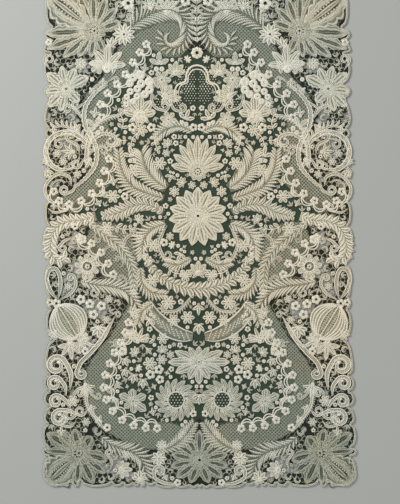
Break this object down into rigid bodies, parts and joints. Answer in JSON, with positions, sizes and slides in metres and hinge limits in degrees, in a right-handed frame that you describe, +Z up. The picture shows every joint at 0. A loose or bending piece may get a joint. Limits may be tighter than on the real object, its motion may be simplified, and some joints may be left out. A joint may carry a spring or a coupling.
{
  "type": "lace scarf",
  "caption": "Flat oblong lace scarf with a scalloped edge, net panels and leafy sprigs, laid out flat.",
  "frame": {"origin": "under the middle of the scarf, on the surface it lies on", "axes": "+Y along the scarf to its upper end, +Z up out of the cloth, +X to the right seen from above"},
  "size_m": [0.63, 0.998, 0.0025],
  "materials": {
    "fine_ground": "fine dark green machine net, matt",
    "diamond_net": "grey-green diamond net, matt",
    "bar_ground": "cream cotton bars and braid, matt",
    "toile": "cream cotton cloth stitch, matt"
  },
  "bodies": {
    "root": {"centre_ground": "fine_ground", "net_upper_left": "diamond_net", "net_upper_right": "diamond_net", "net_side_left": "diamond_net", "net_side_right": "diamond_net", "net_lower_left": "diamond_net", "net_lower_right": "diamond_net", "border_left": "bar_ground", "border_right": "bar_ground", "border_top": "bar_ground", "border_bottom": "bar_ground", "corner_blossom_top_left": "toile", "corner_blossom_top_right": "toile", "corner_blossom_bottom_left": "toile", "corner_blossom_bottom_right": "toile", "side_blossom_left": "toile", "side_blossom_right": "toile", "field_blossom_left": "toile", "field_blossom_right": "toile", "top_frond_left": "toile", "top_frond_right": "toile", "laurel_left": "toile", "laurel_right": "toile", "mid_frond_left": "toile", "mid_frond_right": "toile", "lower_frond_left": "toile", "lower_frond_right": "toile", "garland_left": "toile", "garland_right": "toile", "chain_upper_left": "toile", "chain_upper_right": "toile", "chain_mid_left": "toile", "chain_mid_right": "toile", "chain_lower_left": "toile", "chain_lower_right": "toile", "stem_upper_left": "toile", "stem_upper_right": "toile", "stem_lower_left": "toile", "stem_lower_right": "toile", "lattice_leaf_left": "toile", "lattice_leaf_right": "toile", "medallion_left": "toile", "medallion_right": "toile", "loop_left": "toile", "loop_right": "toile", "bulb_left": "toile", "bulb_right": "toile", "wreath_left": "toile", "wreath_right": "toile", "curls_left": "toile", "curls_right": "toile", "bottom_blossom": "toile", "leaf_star": "toile", "centre_rosette": "toile", "centre_palmette": "toile", "festoon": "toile", "arch": "toile", "roundel": "toile"}
  },
  "joints": []
}
